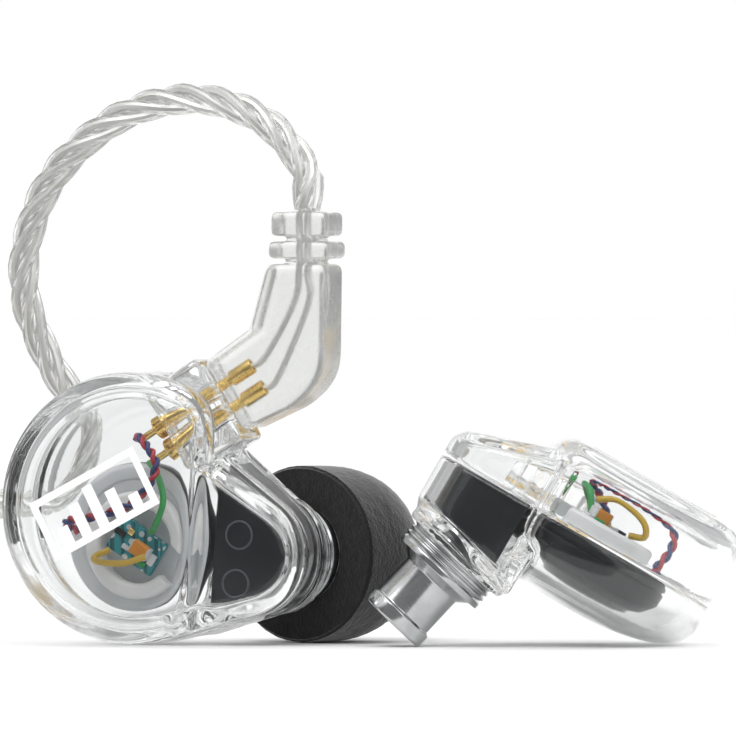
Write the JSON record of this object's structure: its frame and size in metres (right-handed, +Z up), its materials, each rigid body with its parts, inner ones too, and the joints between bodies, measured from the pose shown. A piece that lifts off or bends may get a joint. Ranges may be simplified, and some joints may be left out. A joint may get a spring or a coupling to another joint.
{
  "type": "in ear monitors",
  "caption": "Clear-shelled in-ear monitors with machined metal sound nozzles, a black foam ear tip, and a twisted cable that plugs in with two pins and loops over the ear.",
  "frame": {"origin": "centre of the two earpieces' bounding box in X and Y, on the surface they stand on, without the cable", "axes": "+Z up, +X from the left earpiece to the right one, -Y towards the viewer; the left earpiece stands on its edge, the right one leans on its nozzle"},
  "size_m": [0.1008, 0.0423, 0.0426],
  "materials": {
    "clear_shell": "clear glossy acrylic, polished",
    "clear_plug": "clear glossy moulded plastic",
    "frosted_plastic": "frosted translucent plastic",
    "black_plastic": "black satin plastic",
    "steel": "fine turned stainless steel",
    "mesh_steel": "woven steel mesh",
    "gold": "gold plated, knurled",
    "white_ink": "white printed ink",
    "foam_black": "open cell memory foam",
    "silicone_black": "matt silicone",
    "board_teal": "solder mask",
    "capacitor_orange": "moulded resin",
    "cable_clear": "clear jacket over twisted silver strands",
    "wire_red": "enamel",
    "wire_blue": "enamel",
    "wire_green": "enamel",
    "wire_yellow": "enamel"
  },
  "bodies": {
    "left_earpiece": {"left_face_cover": "clear_shell", "left_inner_shell": "clear_shell", "left_dynamic_driver": "black_plastic", "left_driver_ring": "frosted_plastic", "left_nose_carrier": "black_plastic", "left_crossover_board": "board_teal", "left_capacitor": "capacitor_orange", "left_socket_block": "clear_shell", "left_contact_outer": "gold", "left_contact_inner": "gold", "left_nozzle": "steel", "left_nozzle_mesh": "mesh_steel", "left_sound_tube": "silicone_black", "left_badge": "white_ink", "left_wire_red": "wire_red", "left_wire_blue": "wire_blue", "left_wire_green": "wire_green", "left_wire_yellow": "wire_yellow"},
    "right_earpiece": {"right_face_cover": "clear_shell", "right_inner_shell": "clear_shell", "right_dynamic_driver": "black_plastic", "right_driver_ring": "frosted_plastic", "right_nose_carrier": "black_plastic", "right_crossover_board": "board_teal", "right_capacitor": "capacitor_orange", "right_socket_block": "clear_shell", "right_contact_outer": "gold", "right_contact_inner": "gold", "right_nozzle": "steel", "right_nozzle_mesh": "mesh_steel", "right_sound_tube": "silicone_black", "right_badge": "white_ink", "right_wire_red": "wire_red", "right_wire_blue": "wire_blue", "right_wire_green": "wire_green", "right_wire_yellow": "wire_yellow"},
    "ear_tip": {"foam_tip": "foam_black", "tip_core": "silicone_black"},
    "cable": {"left_plug": "clear_plug", "left_pin_outer": "gold", "left_pin_inner": "gold", "right_plug": "clear_plug", "right_pin_outer": "gold", "right_pin_inner": "gold", "ear_loop_cable": "cable_clear", "cable_coil": "cable_clear", "y_split": "silicone_black", "right_lead": "cable_clear", "jack_lead": "cable_clear", "jack_relief": "silicone_black", "jack_body": "steel", "jack_contact": "gold"}
  },
  "joints": [
    {"name": "plug_pull", "type": "slide", "parent": "left_earpiece", "child": "cable", "axis": [0.7906, -0.3194, 0.5225], "range_m": [0, 0.006]},
    {"name": "foam_tip_pull", "type": "slide", "parent": "left_earpiece", "child": "ear_tip", "axis": [0.5801, 0.8144, -0.0179], "range_m": [0, 0.006]},
    {"name": "right_earpiece_lift", "type": "slide", "parent": "left_earpiece", "child": "right_earpiece", "axis": [0, 0, 1], "range_m": [0, 0.04]}
  ]
}
